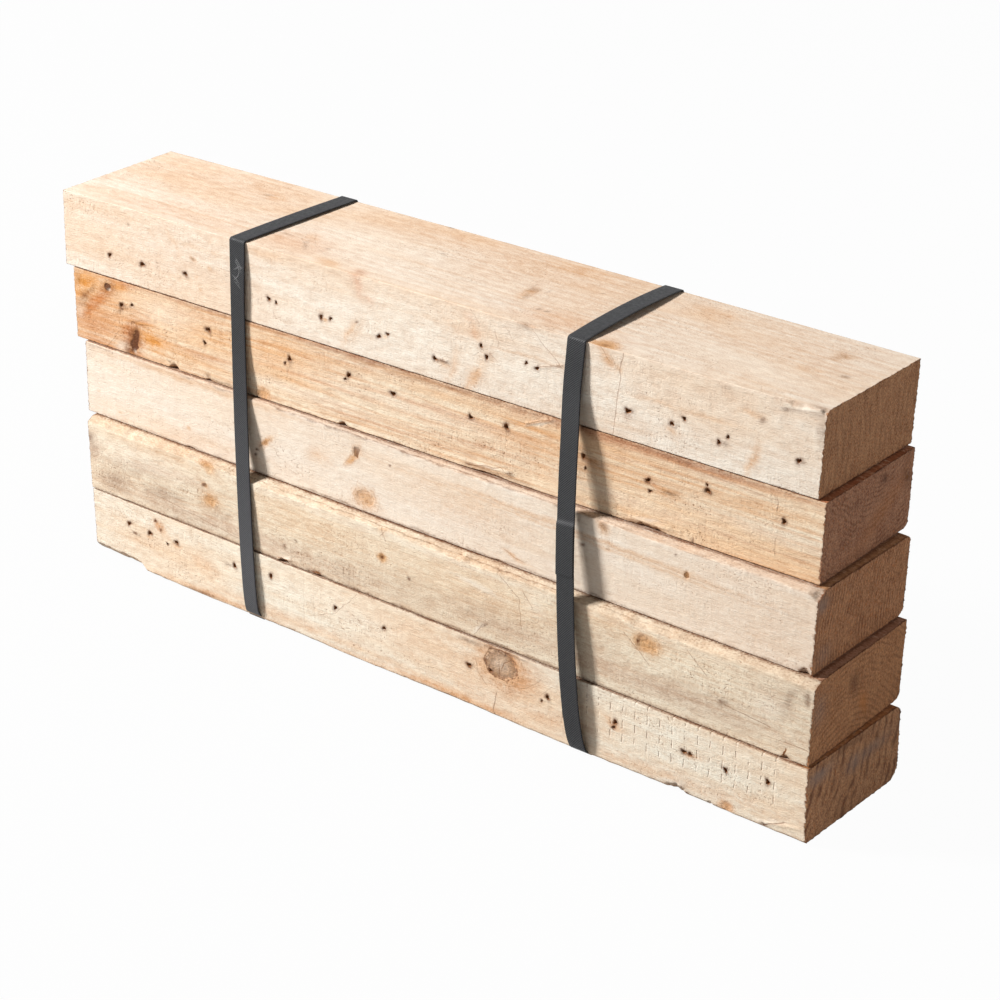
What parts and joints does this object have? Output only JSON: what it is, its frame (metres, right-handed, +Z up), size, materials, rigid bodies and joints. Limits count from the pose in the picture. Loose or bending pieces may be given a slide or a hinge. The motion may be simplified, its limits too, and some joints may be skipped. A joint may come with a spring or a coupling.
{
  "type": "strapped bundle of timber studs",
  "caption": "Stack of short sawn pine studs laid flat on one another and bound by dark plastic straps, with old nail holes in the narrow faces.",
  "frame": {"origin": "on the floor, under the middle of the bundle's bounding box", "axes": "+X along the studs towards their right ends, +Y from the front of the stack to its back, +Z up"},
  "size_m": [0.544, 0.1112, 0.2338],
  "materials": {
    "stud_1": "rough sawn, unfinished",
    "stud_2": "rough sawn, unfinished",
    "stud_3": "rough sawn, unfinished",
    "stud_4": "rough sawn, unfinished",
    "stud_5": "rough sawn, unfinished",
    "strap": "matte, finely embossed"
  },
  "bodies": {
    "root": {"stud_1": "stud_1", "stud_2": "stud_2", "stud_3": "stud_3", "stud_4": "stud_4", "stud_5": "stud_5", "strap_left": "strap", "strap_right": "strap"}
  },
  "joints": []
}
